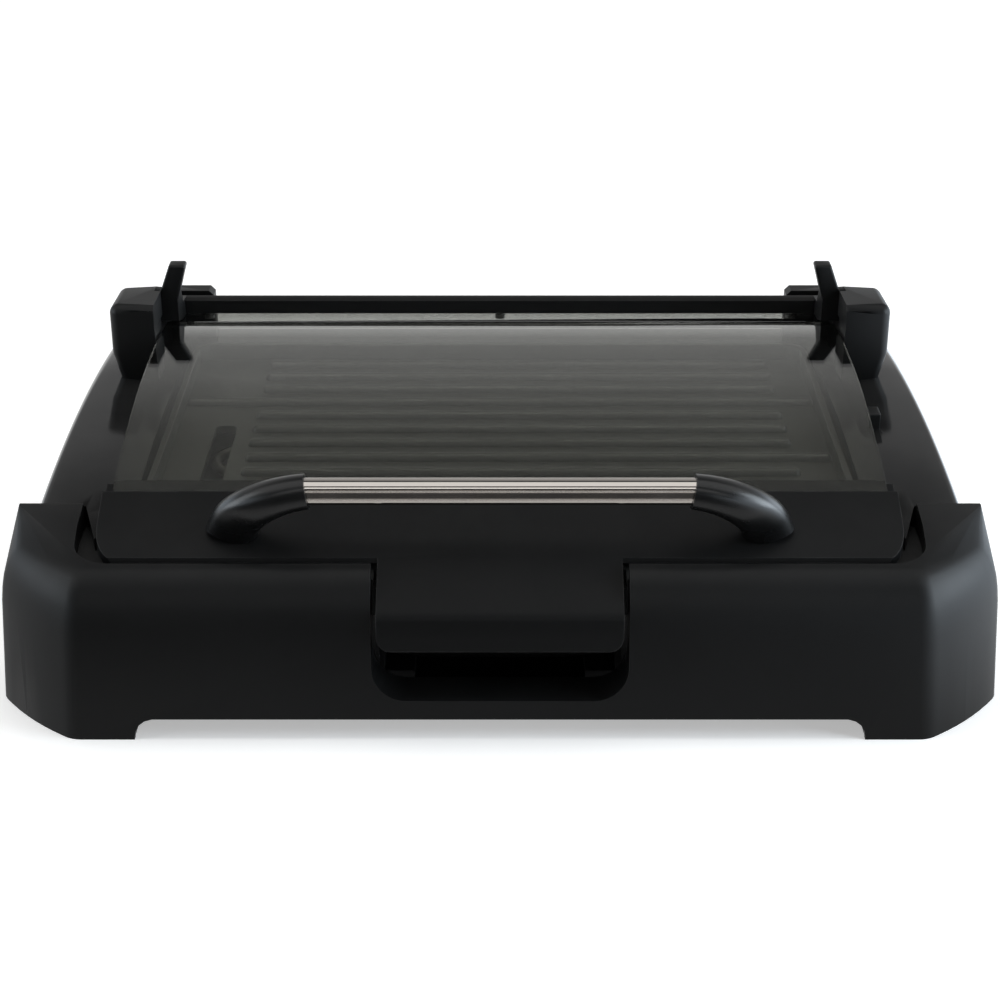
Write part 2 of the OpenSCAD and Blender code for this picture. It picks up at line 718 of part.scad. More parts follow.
// ---- Grill plate ----
plate_corner = 14;
rim_t = 4;
drain_x = -(plate_w/2 - 33);
slot_y = plate_y - 38;
ridge_rows = floor((plate_d - 34)/ridge_pitch) + 1;
module ridge(y, x0, x1) {
    translate([0, y, floor_z]) {
        rod_x(x0, x1, ridge_h);
        for (x = [x0, x1]) translate([x, 0, 0]) sphere(ridge_h);
    }
}
inner_w = plate_w - 2*rim_t;
inner_d = plate_d - 2*rim_t;
inner_r = plate_corner - rim_t;
skirt_t = 7;
module plate_slab(w, d, r, z0, z1) {
    translate([0, plate_y, z0]) linear_extrude(z1 - z0) round_rect(w, d, r);
}
module grill_plate() {
    color([0.1, 0.1, 0.1]) difference() {
        union() {
            plate_slab(inner_w, inner_d, inner_r, plate_under, floor_z);
            intersection() {
                for (i = [0:ridge_rows - 1]) {
                    y = plate_rear - 17 - i*ridge_pitch;
                    x_left = i == 3 ? -plate_w/2 + 8 : ridge_shift - ridge_len/2 + ridge_h;
                    x_right = i == 3 || i == 7 ? plate_w/2 - 8 : ridge_shift + ridge_len/2 - ridge_h;
                    ridge(y, x_left, x_right);
                }
                box([-plate_w/2, plate_w/2], [plate_front, plate_rear], [plate_under + 1, rim_z]);
            }
        }
        translate([drain_x, slot_y, plate_under - 1]) linear_extrude(plate_t + 2)
            round_rect(drain_w, drain_len, 4);
    }
}
module plate_rim() {
    color([0.1, 0.1, 0.1]) difference() {
        plate_slab(plate_w, plate_d, plate_corner, ledge_z, rim_z);
        plate_slab(inner_w, inner_d, inner_r, plate_under, rim_z + 1);
        plate_slab(inner_w - 2*skirt_t, inner_d - 2*skirt_t, inner_r, ledge_z - 1, plate_under + 1);
    }
}

// ---- Lid ----
module lid_glass() {
    corner_in = arm_in - 1.5;
    color([0.35, 0.36, 0.35, 0.35]) difference() {
        intersection() {
            translate([0, glass_cy, glass_cz]) difference() {
                rod_x(-glass_w/2, glass_w/2, glass_r, $fn = 360);
                rod_x(-glass_w/2 - 1, glass_w/2 + 1, glass_r - glass_t, $fn = 360);
            }
            box([-big, big], [glass_front, glass_rear], [0, big]);
        }
        both() {
            box([corner_in, big], [glass_corner, big], [0, big]);
            box([corner_in - 8, corner_in + 1], [glass_corner - 1.6, glass_corner], [0, big]);
        }
        for (x = rail_screw_xs) translate([x, rail_screw_y, 0]) cylinder(r = 2, h = big);
    }
}
module side_profile(x0, x1, points) {
    translate([x0, 0, 0]) rotate([90, 0, 90]) linear_extrude(x1 - x0) polygon(points);
}
rail_back = 19;
rail_d = 8.5;
rail_front = axis_y + rail_back;
rail_rear = rail_front + rail_d;
rail_top = axis_z - 3.3;
module lid_rear_rail() {
    color([0.04, 0.04, 0.042]) difference() {
        side_profile(-arm_in, arm_in, [[rail_front, glass_top(rail_front) + 0.2], [rail_front, rail_top - 1],
            [rail_front + 2, rail_top], [rail_rear - 1.5, rail_top], [rail_rear, rail_top - 1.5],
            [rail_rear, glass_top(rail_rear) + 0.2]]);
        for (x = rail_screw_xs) translate([x, rail_screw_y, 0]) cylinder(r = 1.5, h = rail_top - 2);
    }
}
rail_screw_in = 14.5;
rail_screw_xs = [rail_screw_in - arm_in, 0, arm_in - rail_screw_in];
rail_screw_y = rail_front + 4.2;
module rail_screws() {
    under = glass_top(rail_screw_y) - glass_t - 0.8;
    color("silver") for (x = rail_screw_xs) translate([x, rail_screw_y, under]) {
        translate([0, 0, -1.8]) cylinder(r = 3.2, h = 1.8);
        translate([0, 0, -eps]) cylinder(r = 1.5, h = rail_top - 3 - under);
    }
}
arm_front = axis_y - hub_r;
module hinge_arm() {
    lean = 6;
    difference() {
        union() {
            side_profile(arm_in, arm_out, [[arm_front, axis_z - 7], [axis_y + 6, axis_z - 12],
                [rail_front, axis_z - 13.5], [rail_rear, axis_z - 13.5], [rail_rear, rail_top - 1.5],
                [rail_rear - 1.5, rail_top], [axis_y + 12, axis_z - 2], [axis_y + hub_r - 1, axis_z + 6],
                [axis_y + hub_r - 3, axis_z + 9], [arm_front, axis_z + 9]]);
            translate([0, axis_y, axis_z]) rod_x(arm_in, arm_out, hub_r);
            hull() {
                for (y = [arm_front + 1.5, arm_front + 9]) {
                    for (x = [arm_in + 1.5, arm_out - 1.5]) translate([x, y, axis_z + 6])
                        cylinder(r = 1.5, h = 2, $fn = 32);
                    for (x = [arm_in + 1.5 - lean, arm_out - 3 - lean])
                        translate([x, y, axis_z + fin_h - 1.5]) sphere(1.5, $fn = 24);
                }
            }
        }
        translate([0, axis_y, axis_z]) rod_x(arm_in + 1.5, arm_out + 2, pin_r + pin_clear);
    }
}
module hinge_arm_right() { color([0.05, 0.05, 0.052]) hinge_arm(); }
module hinge_arm_left() { color([0.05, 0.05, 0.052]) mirror([1, 0, 0]) hinge_arm(); }

// Front panel: section seen from +X, as [y, z]
ledge_top = glass_under(panel_back + 1.7) - seal_t;
seal_ledge = 15;
ledge_back = panel_back + seal_ledge;
ledge_back_top = glass_under(ledge_back) - seal_t;
panel_section = [[panel_back + 1.7, panel_top_z], [panel_back - 1, panel_z(panel_back - 1)],
    [panel_low_y, panel_low_z], [panel_low_y - 1, panel_low_z - 2.6],
    [panel_low_y + 0.8, panel_low_z - 4.4], [panel_low_y + 3.4, panel_low_z - 3.2],
    [panel_back - 1, panel_top_z - skin - 3.4], [panel_back + 1, ledge_top - 2.4],
    [ledge_back, ledge_back_top - 2.4], [ledge_back, ledge_back_top], [panel_back + 1.7, ledge_top]];
panel_end = [[panel_back + 1.7, panel_top_z], [panel_back - 1, panel_z(panel_back - 1)],
    [panel_low_y, panel_low_z], [panel_low_y - 1, panel_low_z - 2.6], [panel_low_y + 1.5, panel_low_z - 5],
    [panel_back + 1.7, ledge_top - 3]];
tongue_section = [[panel_low_y + 3, panel_low_z + 3*panel_slope], [panel_low_y, panel_low_z],
    [tongue_y + 3.2, tongue_z + 2.2], [tongue_y + 0.9, tongue_z + 0.2], [tongue_y - 0.2, tongue_z - 2.6],
    [tongue_end_y, tongue_end_z + 1], [tongue_end_y + 0.8, tongue_end_z],
    [tongue_end_y + skin, tongue_end_z + 0.4], [tongue_y + skin - 0.4, tongue_z - 3],
    [tongue_y + 5.6, tongue_z - 0.6], [panel_low_y + 3.4, panel_low_z - 3.2]];
panel_ry = 22;
module panel_plan() {
    y0 = panel_low_y - 1.5;
    w = panel_w/2;
    r = panel_r;
    translate([0, 0, 40]) linear_extrude(100) polygon(concat([[w, panel_back + 20], [-w, panel_back + 20]],
        [for (i = [0:8]) let (a = 180 + 90*i/8) [-w + r + r*cos(a), y0 + panel_ry*(1 + sin(a))]],
        [for (i = [0:8]) let (a = 270 + 90*i/8) [w - r + r*cos(a), y0 + panel_ry*(1 + sin(a))]]));
}
module tongue_front() {
    w = tongue_w/2;
    r = tongue_r;
    translate([0, housing_front + 40, 0]) rotate([90, 0, 0]) linear_extrude(100)
        polygon(concat([[w, 120], [-w, 120]],
            arc_pts(-w + r, tongue_end_z + r, r, 180, 270, 8),
            arc_pts(w - r, tongue_end_z + r, r, 270, 360, 8)));
}
module lid_front_panel() {
    color([0.05, 0.05, 0.052]) difference() {
        union() {
            intersection() {
                union() {
                    side_profile(-panel_w/2, panel_w/2, panel_section);
                    both() side_profile(panel_w/2 - skin, panel_w/2, panel_end);
                    both() side_profile(panel_w/2 - panel_r - 2, panel_w/2, panel_corner);
                }
                panel_plan();
            }
            intersection() {
                side_profile(-tongue_w/2, tongue_w/2, tongue_section);
                tongue_front();
            }
        }
        for (x = handle_screw_xs) translate([x, 0, 0]) handle_screw_hole();
    }
}
panel_corner = [[panel_low_y + 12, panel_z(panel_low_y + 12)], [panel_low_y, panel_low_z],
    [panel_low_y - 1, panel_low_z - 2.6], [panel_low_y + 1.5, panel_low_z - 5],
    [panel_low_y + 12, panel_low_z - 1]];
grip_screw = 14;
screw_sink = 10;
screw_way = 20;
handle_screw_xs = [-handle_foot_x - 6, -handle_foot_x + 6, handle_foot_x - 6, handle_foot_x + 6];
handle_screw_y = foot_y;
handle_screw_z = panel_z(handle_screw_y) - 5.4;
module handle_screw_hole() {
    translate([0, handle_screw_y, handle_screw_z - screw_sink]) cylinder(r = 3.4, h = screw_sink);
    translate([0, handle_screw_y, handle_screw_z - 2]) cylinder(r = 1.6, h = screw_way);
}
module handle_screws() {
    color("silver") for (x = handle_screw_xs) translate([x, handle_screw_y, handle_screw_z]) {
        translate([0, 0, -2.2]) cylinder(r = 3.1, h = 2.2);
        translate([0, 0, -0.1]) cylinder(r = 1.5, h = grip_screw);
    }
}
module lid_seal() {
    color([0.02, 0.02, 0.02]) side_profile(-glass_w/2 + 4, glass_w/2 - 4,
        [[panel_back + 1.7, ledge_top], [ledge_back, ledge_back_top],
         [ledge_back, ledge_back_top + seal_t], [panel_back + 1.7, ledge_top + seal_t]]);
}
bumper_in = 35;
bumper_back = 18;
module lid_bumpers() {
    color([0.03, 0.03, 0.03]) both() difference() {
        translate([panel_w/2 - bumper_in, panel_low_y + bumper_back, deck_z + 2.1])
            cylinder(r = 4, h = panel_low_z + 4.5 - deck_z - 2.1);
        side_profile(0, panel_w/2, panel_section);
    }
}

// ---- Handle ----
bar_y = front_y + bar_back;
arm_x0 = bar_len/2;
arm_dx = handle_foot_x - arm_x0;
foot_dz = bar_z - panel_z(foot_y) + 3;
// Each point of the arm: [x, y, z, half height, half depth]
arm_points = [
    [arm_x0, bar_y, bar_z, bar_h/2 + 2.2, 8.4],
    [arm_x0 + 0.22*arm_dx, bar_y, bar_z - 0.05*foot_dz, bar_h/2 + 2.6, 8.8],
    [arm_x0 + 0.47*arm_dx, bar_y + 1, bar_z - 0.17*foot_dz, bar_h/2 + 3.4, 9.2],
    [arm_x0 + 0.72*arm_dx, bar_y + 4, bar_z - 0.38*foot_dz, bar_h/2 + 4.6, 9.6],
    [arm_x0 + 0.9*arm_dx, bar_y + 9, bar_z - 0.65*foot_dz, bar_h/2 + 6, 9.8],
    [arm_x0 + arm_dx, foot_y, bar_z - foot_dz, bar_h/2 + 7.3, 9.8]];
arm_steps = 5;
arm_sides = 24;
// Catmull-Rom interpolation through the list p
function spline(p, i, t) =
    let (a = p[max(i - 1, 0)], b = p[i], c = p[i + 1], d = p[min(i + 2, len(p) - 1)])
    0.5*(2*b + (c - a)*t + (2*a - 5*b + 4*c - d)*t*t + (3*b - a - 3*c + d)*t*t*t);
arm_line = [for (i = [0:len(arm_points) - 2], k = [0:arm_steps - 1]) spline(arm_points, i, k/arm_steps),
    arm_points[len(arm_points) - 1]];
function flat_dir(i) =
    let (a = arm_line[max(i - 1, 0)], b = arm_line[min(i + 1, len(arm_line) - 1)],
         v = [b[0] - a[0], b[2] - a[2]]) v/norm(v);
function squarish(v) = sign(v)*pow(abs(v), 0.82);
module arm_tube() {
    n = arm_sides;
    rings = [for (i = [0:len(arm_line) - 1]) let (p = arm_line[i], d = flat_dir(i)) [for (k = [0:n - 1])
        let (a = 360*k/n, u = p[3]*squarish(cos(a)), v = p[4]*squarish(sin(a)))
        [p[0] - d[1]*u, p[1] + v, p[2] + d[0]*u]]];
    m = len(rings);
    sides = [for (i = [0:m - 2], k = [0:n - 1])
        [i*n + k, i*n + (k + 1)%n, (i + 1)*n + (k + 1)%n, (i + 1)*n + k]];
    polyhedron([for (r = rings) each r],
        concat([[for (k = [0:n - 1]) n - 1 - k]], sides, [[for (k = [0:n - 1]) (m - 1)*n + k]]),
        convexity = 4);
}
module handle_arm() {
    difference() {
        arm_tube();
        side_profile(0, half_w, [[front_y, 0], [front_y, panel_z(front_y)],
            [panel_back, panel_z(panel_back)], [panel_back, 0]]);
        bar_solid(arm_x0 - 1, arm_x0 + bar_socket);
        for (x = handle_screw_xs) translate([x, handle_screw_y, handle_screw_z])
            cylinder(r = 1.5, h = grip_screw - 0.1);
    }
}
module handle_arm_right() { color([0.06, 0.06, 0.065]) handle_arm(); }
module handle_arm_left() { color([0.06, 0.06, 0.065]) mirror([1, 0, 0]) handle_arm(); }
bar_socket = 8;
bar_depth = 11;
module bar_solid(x0, x1) {
    groove = 0.7;
    translate([x0, bar_y, bar_z]) rotate([90, 0, 90]) linear_extrude(x1 - x0) difference() {
        round_rect(bar_depth, bar_h, 4.5);
        for (z = [-2.2, 2.6]) translate([-bar_depth/2, z]) circle(groove);
    }
}
module handle_bar() {
    color([0.75, 0.73, 0.68]) difference() {
        bar_solid(-arm_x0 - bar_socket, arm_x0 + bar_socket);
        translate([-big/2, bar_y, bar_z]) rotate([90, 0, 90]) linear_extrude(big)
            round_rect(bar_depth - 2.4, bar_h - 2.4, 3.3);
    }
}

base_housing();
front_fascia();
bottom_cover();
hinge_block_left();
hinge_block_right();
hinge_pins();
rear_feet();
front_foot_pads();
housing_screws();
fascia_screws();
heat_reflector();
reflector_screws();
heating_element();
element_supports();
terminal_block();
terminal_pins();
probe_tube();
probe_socket();
probe_guard();
drip_tray();
grill_plate();
plate_rim();
lid_glass();
lid_rear_rail();
rail_screws();
hinge_arm_left();
hinge_arm_right();
lid_front_panel();
lid_seal();
lid_bumpers();
handle_arm_left();
handle_arm_right();
handle_bar();
handle_screws();
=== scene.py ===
# %% [markdown]
# # An electric indoor grill with a hinged glass lid
# The grill is a black housing with a ridged plate in it, a matte fascia across its front, and a
# lid of smoked arched glass that swings on two hinge blocks at the rear. The construction is
# loaded first, as one object per part at its real size. Each later step gives one group of
# parts its looks. Sizes are in metres, +X is to the right, +Y to the rear and +Z up.

# %% Load the parts
import json
import math

import bmesh
import bpy
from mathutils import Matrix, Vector


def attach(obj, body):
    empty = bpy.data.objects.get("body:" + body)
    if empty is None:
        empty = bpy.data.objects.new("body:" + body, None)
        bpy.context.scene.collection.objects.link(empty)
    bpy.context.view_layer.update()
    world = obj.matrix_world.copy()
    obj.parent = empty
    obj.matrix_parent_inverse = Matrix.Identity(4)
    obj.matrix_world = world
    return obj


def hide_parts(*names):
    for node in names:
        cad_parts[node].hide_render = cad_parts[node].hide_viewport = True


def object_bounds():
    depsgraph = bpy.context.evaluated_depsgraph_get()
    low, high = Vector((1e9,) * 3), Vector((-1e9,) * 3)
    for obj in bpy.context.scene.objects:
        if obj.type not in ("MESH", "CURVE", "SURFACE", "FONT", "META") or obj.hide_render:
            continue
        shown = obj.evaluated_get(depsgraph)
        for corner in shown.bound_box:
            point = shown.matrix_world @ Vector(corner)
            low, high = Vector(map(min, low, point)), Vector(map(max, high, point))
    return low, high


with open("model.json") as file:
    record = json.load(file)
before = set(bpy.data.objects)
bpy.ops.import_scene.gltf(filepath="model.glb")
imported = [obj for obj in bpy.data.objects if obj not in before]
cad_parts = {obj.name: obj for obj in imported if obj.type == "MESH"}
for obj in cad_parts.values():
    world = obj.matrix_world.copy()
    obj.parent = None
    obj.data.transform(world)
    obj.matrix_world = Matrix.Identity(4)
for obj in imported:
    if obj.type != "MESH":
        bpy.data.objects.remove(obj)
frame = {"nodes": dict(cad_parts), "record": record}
nodes = frame["nodes"]
record = frame["record"]
cad_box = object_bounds()
low, high = (Vector(corner) for corner in cad_box)
slot_of = {part["node"]: part["material_slot"] for part in record["subparts"]}
bodies = record["behaviour"]["bodies"]
body_of = {node: body for body, members in bodies.items() for node in members}
MM = 0.001
print("parts:", len(nodes), "size:", [round(v, 3) for v in high - low])

# %% [markdown]
# ## The camera
# The grill is seen from the front and from above, from about a metre away, through a lens of
# 72 mm. It looks straight along the depth of the grill, so the two sides mirror each other.

# %% Camera
LENS = 72.3
SENSOR = 36
CAMERA_DISTANCE = 0.895
CAMERA_HEIGHT = 0.590
CAMERA_PITCH = math.radians(26.588)
CLIP_NEAR = 0.05
CLIP_FAR = 30


def make_camera():
    data = bpy.data.cameras.new("camera")
    data.lens = LENS
    data.sensor_width = SENSOR
    data.clip_start = CLIP_NEAR
    data.clip_end = CLIP_FAR
    camera = bpy.data.objects.new("camera", data)
    bpy.context.scene.collection.objects.link(camera)
    camera.location = (0, low.y - CAMERA_DISTANCE, CAMERA_HEIGHT)
    camera.rotation_euler = (math.pi / 2 - CAMERA_PITCH, 0, 0)
    bpy.context.scene.camera = camera
    return camera


camera = make_camera()
print("camera at", [round(v, 3) for v in camera.location])

# %% [markdown]
# ## Nodes, by hand
# A node tree is a list of nodes and of links between their sockets. These helpers add one node
# or one link at a time, so that each material below reads from its textures to its shader.

# %% Helpers for node trees
def add_node(tree, kind, **settings):
    node = tree.nodes.new(kind)
    for key, value in settings.items():
        setattr(node, key, value)
    return node


def feed(tree, source, target):
    """Links a socket, or writes a plain value."""
    if isinstance(source, bpy.types.NodeSocket):
        tree.links.new(source, target)
    else:
        target.default_value = source


def math_node(tree, operation, a, b, clamp=False):
    node = add_node(tree, "ShaderNodeMath", operation=operation, use_clamp=clamp)
    feed(tree, a, node.inputs[0])
    feed(tree, b, node.inputs[1])
    return node.outputs[0]


def blend_colours(tree, mask, first, second):
    node = add_node(tree, "ShaderNodeMix", data_type="RGBA")
    feed(tree, mask, node.inputs["Factor"])
    feed(tree, first, node.inputs["A"])
    feed(tree, second, node.inputs["B"])
    return node.outputs["Result"]


def remap(tree, value, from_low, from_high, to_low=0, to_high=1):
    """Carries a value from one range to another, and stops at both ends."""
    node = add_node(tree, "ShaderNodeMapRange", clamp=True)
    feed(tree, value, node.inputs["Value"])
    feed(tree, from_low, node.inputs["From Min"])
    feed(tree, from_high, node.inputs["From Max"])
    feed(tree, to_low, node.inputs["To Min"])
    feed(tree, to_high, node.inputs["To Max"])
    return node.outputs["Result"]


def noise(tree, place, scale, detail=2.0, roughness=0.5):
    """A noise from 0 to 1. scale is how often it repeats in a metre."""
    node = add_node(tree, "ShaderNodeTexNoise")
    feed(tree, place, node.inputs["Vector"])
    feed(tree, scale, node.inputs["Scale"])
    node.inputs["Detail"].default_value = detail
    node.inputs["Roughness"].default_value = roughness
    return node.outputs["Fac"]


def object_place(tree):
    return add_node(tree, "ShaderNodeTexCoord").outputs["Object"]


def split_axes(tree, vector):
    node = add_node(tree, "ShaderNodeSeparateXYZ")
    feed(tree, vector, node.inputs[0])
    return node.outputs


def product(tree, *factors):
    result = factors[0]
    for factor in factors[1:]:
        result = math_node(tree, "MULTIPLY", result, factor)
    return result


def brightest(tree, *values):
    result = values[0]
    for value in values[1:]:
        result = math_node(tree, "MAXIMUM", result, value)
    return result


def total(tree, *terms):
    result = terms[0]
    for term in terms[1:]:
        result = math_node(tree, "ADD", result, term)
    return result


# %% [markdown]
# ## The studio
# The grill stands on white paper. A white wall stands behind it, which the gloss of the housing
# and the glass pick up. It is bright near the horizon and fades upwards, so level gloss is pale
# at the rear and dark in front. A diffuser hangs overhead and a strip light above the camera, and
# both draw bright bands along the handle bar. There is a cool window on the right and a dimmer
# one on the left. The room on the camera's side is dark, so black plastic stays black. The world
# holds all of it: what is seen, what is mirrored and what lights the grill.

# %% World
# How brightly each part glows, where 1 is white
BACKDROP = 1.0
WALL_GLOW = 1.1
WALL_MIDDLE = 0.38
WALL_TOP_SHARE = 0.05
ROOM_GLOW = 0.10
SKY_GLOW = 0.45
MIRRORED_ROOM = 0.045
OVERHEAD_GLOW = 0.95
KEY_GLOW = 1.4
WINDOW_RIGHT = 4.0
WINDOW_LEFT = 1.8
WHITE = (1, 1, 1, 1)
BLACK = (0, 0, 0, 1)
WINDOW_BLUE = (0.80, 0.90, 1.0, 1)

# Where each part fades in or out, as a coordinate of the direction towards it
WALL_SIDE = (0.05, 0.45)
WALL_FADE = (0.08, 0.24)
WALL_TOP = (0.50, 0.76)
ROOM_TO_SKY = (-0.15, 0.75)
DIFFUSER_REAR = (0.40, 0.32)
DIFFUSER_FRONT = (-0.70, -0.62)
DIFFUSER_RIM = (0.5, 0.65)
KEY_TOP = (-0.84, -0.87)
KEY_BOTTOM = (-0.965, -0.94)
KEY_FOOT = (0.15, 0.25)
WINDOW_NEAR = 0.5
WINDOW_FAR = 0.8
WINDOW_TOP = (0.42, 0.22)


def seen_rays(tree):
    """Two masks: rays that look at the background, from the camera or through glass, and rays
    that look at it in a mirror."""
    path = add_node(tree, "ShaderNodeLightPath").outputs
    through = math_node(tree, "SUBTRACT", path["Is Transmission Ray"], path["Diffuse Depth"],
                        clamp=True)
    seen = brightest(tree, path["Is Camera Ray"], through)
    glossy = math_node(tree, "SUBTRACT", path["Is Glossy Ray"], path["Is Transmission Ray"],
                       clamp=True)
    return seen, glossy


def mirrored_wall(tree, axes):
    behind = remap(tree, axes["Y"], *WALL_SIDE)
    wall = remap(tree, axes["Z"], *WALL_FADE, WALL_GLOW, WALL_MIDDLE)
    return product(tree, behind, wall, remap(tree, axes["Z"], *WALL_TOP, 1, WALL_TOP_SHARE))


def mirrored_diffuser(tree, axes):
    return product(tree, remap(tree, axes["Y"], *DIFFUSER_REAR, 0, OVERHEAD_GLOW),
                   remap(tree, axes["Y"], *DIFFUSER_FRONT), remap(tree, axes["Z"], *DIFFUSER_RIM))


def mirrored_key(tree, axes):
    return product(tree, remap(tree, axes["Y"], *KEY_TOP, 0, KEY_GLOW),
                   remap(tree, axes["Y"], *KEY_BOTTOM), remap(tree, axes["Z"], *KEY_FOOT))


def mirrored_windows(tree, axes):
    right = remap(tree, axes["X"], WINDOW_NEAR, WINDOW_FAR, 0, WINDOW_RIGHT)
    left = remap(tree, axes["X"], -WINDOW_NEAR, -WINDOW_FAR, 0, WINDOW_LEFT)
    return product(tree, total(tree, right, left), remap(tree, axes["Z"], *WINDOW_TOP))


def make_world():
    world = bpy.data.worlds.new("studio")
    bpy.context.scene.world = world
    world.use_nodes = True
    tree = world.node_tree
    tree.nodes.clear()
    axes = split_axes(tree, add_node(tree, "ShaderNodeTexCoord").outputs["Generated"])
    windows = mirrored_windows(tree, axes)
    mirrored = brightest(tree, mirrored_wall(tree, axes), MIRRORED_ROOM, windows,
                         mirrored_diffuser(tree, axes), mirrored_key(tree, axes))
    room = remap(tree, axes["Y"], *ROOM_TO_SKY, ROOM_GLOW, SKY_GLOW)
    seen, glossy = seen_rays(tree)
    lit = math_node(tree, "SUBTRACT", 1, brightest(tree, seen, glossy))
    strength = total(tree, product(tree, seen, BACKDROP), product(tree, mirrored, glossy),
                     product(tree, lit, room))
    cool = math_node(tree, "MULTIPLY", glossy, windows, clamp=True)
    glow = add_node(tree, "ShaderNodeBackground")
    feed(tree, strength, glow.inputs["Strength"])
    feed(tree, blend_colours(tree, cool, WHITE, WINDOW_BLUE), glow.inputs["Color"])
    out = add_node(tree, "ShaderNodeOutputWorld")
    tree.links.new(glow.outputs[0], out.inputs["Surface"])


make_world()
scene = bpy.context.scene
scene.view_settings.view_transform = "Standard"
print("world: wall", WALL_GLOW, "room", ROOM_GLOW)

# %% [markdown]
# The lamps only reach the paper near the grill, so the paper glows by itself further out, for the
# camera. Close to the grill it keeps the shadow. In a mirror the paper shows no lamp light, only a
# glow of its own. That ends a short way in front of the grill and is bright on the right, towards
# the window, so the right corner of the fascia is pale.

# %% Floor and lamps
FLOOR_REACH = 6
FLOOR_WHITE = 0.92
FLOOR_ROUGHNESS = 0.9

# How brightly the paper glows, and how far from the middle it does so
SHADOWED_PAPER = 0.42
PAPER_NEAR = 0.45
PAPER_FAR = 2.5

# The paper in a mirror: its front edge, its rear and the side towards the window
MIRRORED_PAPER = 0.6
NEAR_PAPER = -0.31
FAR_PAPER = -0.36
REAR_PAPER = (-0.3, 0.3)
WINDOW_SIDE = 2.1
WINDOW_PAPER = (0.24, 0.55)


def make_floor():
    mesh = bpy.data.meshes.new("floor")
    r = FLOOR_REACH
    mesh.from_pydata([(-r, -r, 0), (r, -r, 0), (r, r, 0), (-r, r, 0)], [], [(0, 1, 2, 3)])
    floor = bpy.data.objects.new("floor", mesh)
    scene.collection.objects.link(floor)
    material = bpy.data.materials.new("floor_paper")
    material.use_nodes = True
    tree = material.node_tree
    shader = tree.nodes["Principled BSDF"]
    place = object_place(tree)
    seen, glossy = seen_rays(tree)
    white = (FLOOR_WHITE, FLOOR_WHITE, FLOOR_WHITE, 1)
    feed(tree, blend_colours(tree, glossy, white, BLACK), shader.inputs["Base Color"])
    shader.inputs["Roughness"].default_value = FLOOR_ROUGHNESS
    shader.inputs["Specular IOR Level"].default_value = 0.0
    away = add_node(tree, "ShaderNodeVectorMath", operation="LENGTH")
    feed(tree, place, away.inputs[0])
    paper = remap(tree, away.outputs["Value"], PAPER_NEAR, PAPER_FAR, SHADOWED_PAPER, 1)
    axes = split_axes(tree, place)
    side = remap(tree, axes["X"], *WINDOW_PAPER)
    rear = remap(tree, axes["Y"], *REAR_PAPER, 0, WALL_GLOW)
    near = remap(tree, axes["Y"], FAR_PAPER, NEAR_PAPER, MIRRORED_ROOM, MIRRORED_PAPER)
    mirrored = brightest(tree, total(tree, near, product(tree, side, WINDOW_SIDE)), rear)
    glow = total(tree, product(tree, paper, seen), product(tree, mirrored, glossy))
    feed(tree, glow, shader.inputs["Emission Strength"])
    tint = product(tree, side, glossy)
    feed(tree, blend_colours(tree, tint, WHITE, WINDOW_BLUE), shader.inputs["Emission Color"])
    mesh.materials.append(material)


def make_softbox(name, place, size, watts, colour):
    data = bpy.data.lights.new(name, "AREA")
    data.shape = "RECTANGLE"
    data.size, data.size_y = size
    data.energy = watts
    data.color = colour
    lamp = bpy.data.objects.new(name, data)
    scene.collection.objects.link(lamp)
    lamp.location = place
    towards = Vector(LAMP_TARGET) - Vector(place)
    lamp.rotation_euler = towards.to_track_quat("-Z", "Y").to_euler()
    return lamp


LAMP_TARGET = (0, 0, 0.06)
COOL_LIGHT = (0.82, 0.92, 1.0)
PALE_LIGHT = (0.92, 0.97, 1.0)
WARM_LIGHT = (1.0, 0.985, 0.96)
make_floor()
softboxes = [
    make_softbox("softbox_right", (1.35, -0.35, 0.5), (0.8, 0.9), 15, COOL_LIGHT),
    make_softbox("softbox_left", (-1.35, -0.25, 0.55), (0.7, 0.9), 5, PALE_LIGHT),
    make_softbox("top_light", (0.0, 0.14, 1.45), (1.5, 0.7), 11, WARM_LIGHT),
]
# In a mirror the world's diffuser stands for the top light
softboxes[-1].visible_glossy = False
print("lamps:", [lamp.name for lamp in softboxes])

# %% [markdown]
# ## Shared effects as node groups
# Several finishes of the grill share the same small effects: the fine grain of a moulded part,
# paler edges that are partly rubbed wear and partly painted highlight, the faint marks that hands
# leave, and dust that settles on level faces. Each is one node group with named inputs and
# outputs, so a material only sets how much it wants.

# %% Node groups
def make_group(name, inputs, outputs):
    """An empty group. inputs is a list of (name, kind, value), outputs a list of (name, kind)."""
    group = bpy.data.node_groups.new(name, "ShaderNodeTree")
    for label, kind, value in inputs:
        group.interface.new_socket(label, in_out="INPUT", socket_type=kind).default_value = value
    for label, kind in outputs:
        group.interface.new_socket(label, in_out="OUTPUT", socket_type=kind)
    source = group.nodes.new("NodeGroupInput")
    sink = group.nodes.new("NodeGroupOutput")
    return group, source.outputs, sink.inputs


FLOAT = "NodeSocketFloat"

# The values of a noise, or of a cosine, between which a mask goes from none to full
GRAIN_TONES = (0.7, 1.3)
EDGE_TURN = (0.97, 0.80)
EDGE_PATCHES = (0.35, 0.65)
SMEAR_RANGE = (0.45, 0.75)
LEVEL_FACE = (0.5, 0.95)
FILM_RANGE = (0.4, 0.7)
SPECK_RANGE = (0.72, 0.76)

# How weak and how strong a mask gets, and which way the smears run
PATCH_LEAST = 0.2
FILM_LEAST = 0.1
FILM_MOST = 0.5
SMEAR_TURN = (0.3, 0.2, 0.7)
SMEAR_STRETCH = (1.0, 2.6, 1.6)
EDGE_SAMPLES = 4


